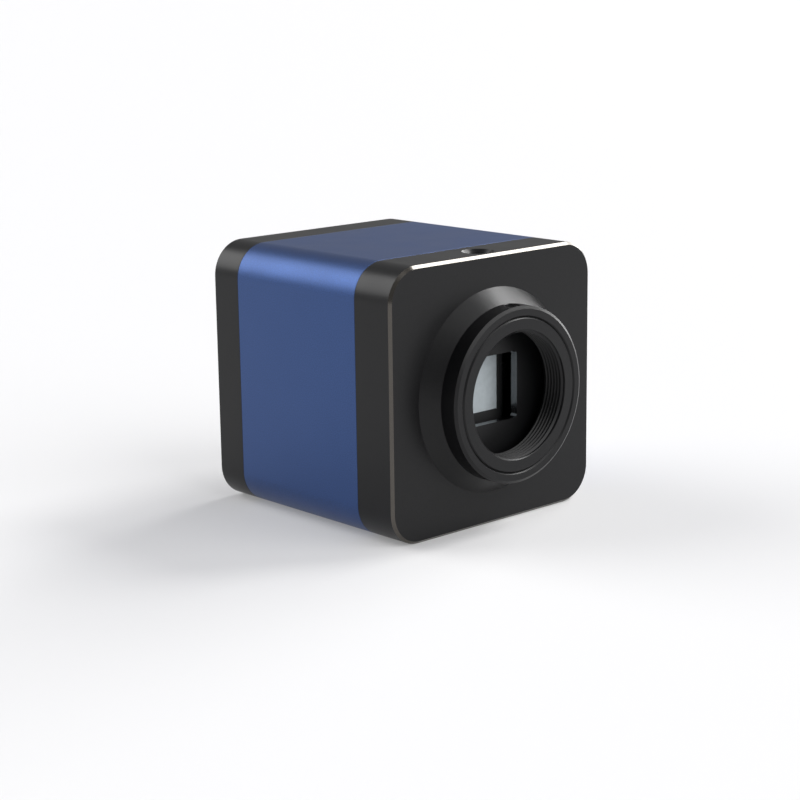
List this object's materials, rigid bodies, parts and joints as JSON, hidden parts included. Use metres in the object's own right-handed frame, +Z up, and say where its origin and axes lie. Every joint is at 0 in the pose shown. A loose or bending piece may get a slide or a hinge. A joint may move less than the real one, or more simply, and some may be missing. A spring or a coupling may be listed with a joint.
{
  "type": "microscope camera",
  "caption": "Box-shaped microscope camera with rounded corners, a flared nose with a threaded lens ring, a sensor window behind it, and sockets and a button at the rear.",
  "frame": {"origin": "centre of the lens ring's front face, which is the flange that a lens seats on", "axes": "+Z up, the lens side faces -Y, so +Y is the distance behind the flange, +X completes the frame"},
  "size_m": [0.055, 0.0612, 0.054],
  "materials": {
    "black_anodised": "bead-blasted black anodised aluminium",
    "blue_anodised": "bead-blasted blue anodised aluminium",
    "black_screw": "black oxide steel",
    "steel": "bright steel",
    "socket_steel": "tin-plated sheet steel",
    "black_plastic": "matt moulded plastic",
    "socket_plastic": "matt moulded plastic",
    "filter_glass": "coated glass",
    "sensor_glass": "clear glass",
    "silicone": "black silicone",
    "ceramic": "dark ceramic",
    "silicon": "silicon die",
    "circuit_board": "black solder mask on glass fibre board",
    "chip_plastic": "moulded chip body",
    "connector_plastic": "cream moulded plastic",
    "ribbon": "flat cable film",
    "thermal_pad": "grey-blue gap pad",
    "sink_aluminium": "black anodised heat sink",
    "button_plastic": "matt moulded key cap",
    "led_lens": "clear moulded lamp"
  },
  "bodies": {
    "camera": {"front_housing": "black_anodised", "ring_lock_screw": "black_screw", "centre_sleeve": "blue_anodised", "rear_cover": "black_anodised", "housing_screws": "black_screw", "sensor_package": "ceramic", "sensor_die": "silicon", "sensor_cover_glass": "sensor_glass", "sensor_gasket": "silicone", "filter_holder": "black_plastic", "ir_cut_filter": "filter_glass", "sensor_board": "circuit_board", "sensor_board_screws": "steel", "holder_screws": "steel", "sensor_connector": "connector_plastic", "main_connector": "connector_plastic", "ribbon_cable": "ribbon", "main_board": "circuit_board", "processor_chip": "chip_plastic", "thermal_pad": "thermal_pad", "heat_sink": "sink_aluminium", "memory_chips": "chip_plastic", "power_inductors": "chip_plastic", "video_shell": "socket_steel", "video_insert": "socket_plastic", "data_shell": "socket_steel", "data_insert": "socket_plastic", "power_jack_body": "black_plastic", "power_jack_pin": "steel", "card_socket_body": "black_plastic", "card_socket_shell": "socket_steel", "power_switch": "black_plastic", "status_led": "led_lens", "led_holder": "black_plastic"},
    "lens_ring": {"c_mount_ring": "black_anodised"},
    "button": {"power_button": "button_plastic", "switch_plunger": "black_plastic"}
  },
  "joints": [
    {"name": "ring_turn", "type": "hinge", "parent": "camera", "child": "lens_ring", "pos_m": [0, 0, 0], "axis": [0, -1, 0], "range_deg": [-180, 180]},
    {"name": "power_button_press", "type": "slide", "parent": "camera", "child": "button", "axis": [0, -1, 0], "range_m": [0, 0.0004], "stiffness_N_per_m": 2500, "springref_m": -0.0004}
  ]
}
